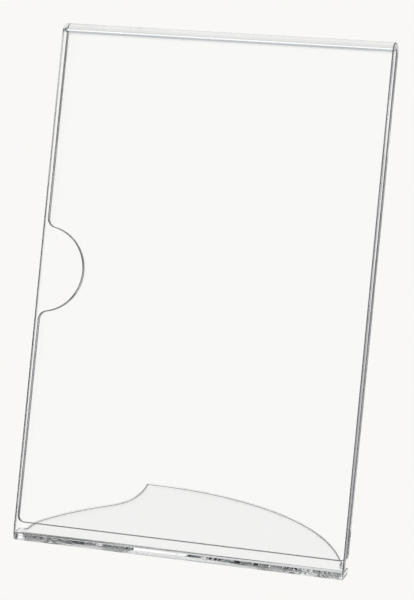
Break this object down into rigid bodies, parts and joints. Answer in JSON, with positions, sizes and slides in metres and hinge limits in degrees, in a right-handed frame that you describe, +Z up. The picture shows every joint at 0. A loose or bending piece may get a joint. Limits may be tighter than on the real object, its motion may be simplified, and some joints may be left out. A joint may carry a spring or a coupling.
{
  "type": "photo stand",
  "caption": "Clear acrylic stand for one upright print: a leaning pocket folded over at the top with a thumb notch behind, on a flat wave-shaped foot.",
  "frame": {"origin": "middle of the stand's footprint, on the underside of the foot plate", "axes": "+Z up along the height, the print faces -Y, +Y towards the back of the foot, +X to the right as seen from the front"},
  "size_m": [0.105, 0.0562, 0.1517],
  "materials": {
    "clear_acrylic": "water-clear cast acrylic, 2.2 mm, polished edges"
  },
  "bodies": {
    "root": {"front_panel": "clear_acrylic", "top_fold": "clear_acrylic", "back_panel": "clear_acrylic", "foot_plate": "clear_acrylic"}
  },
  "joints": []
}
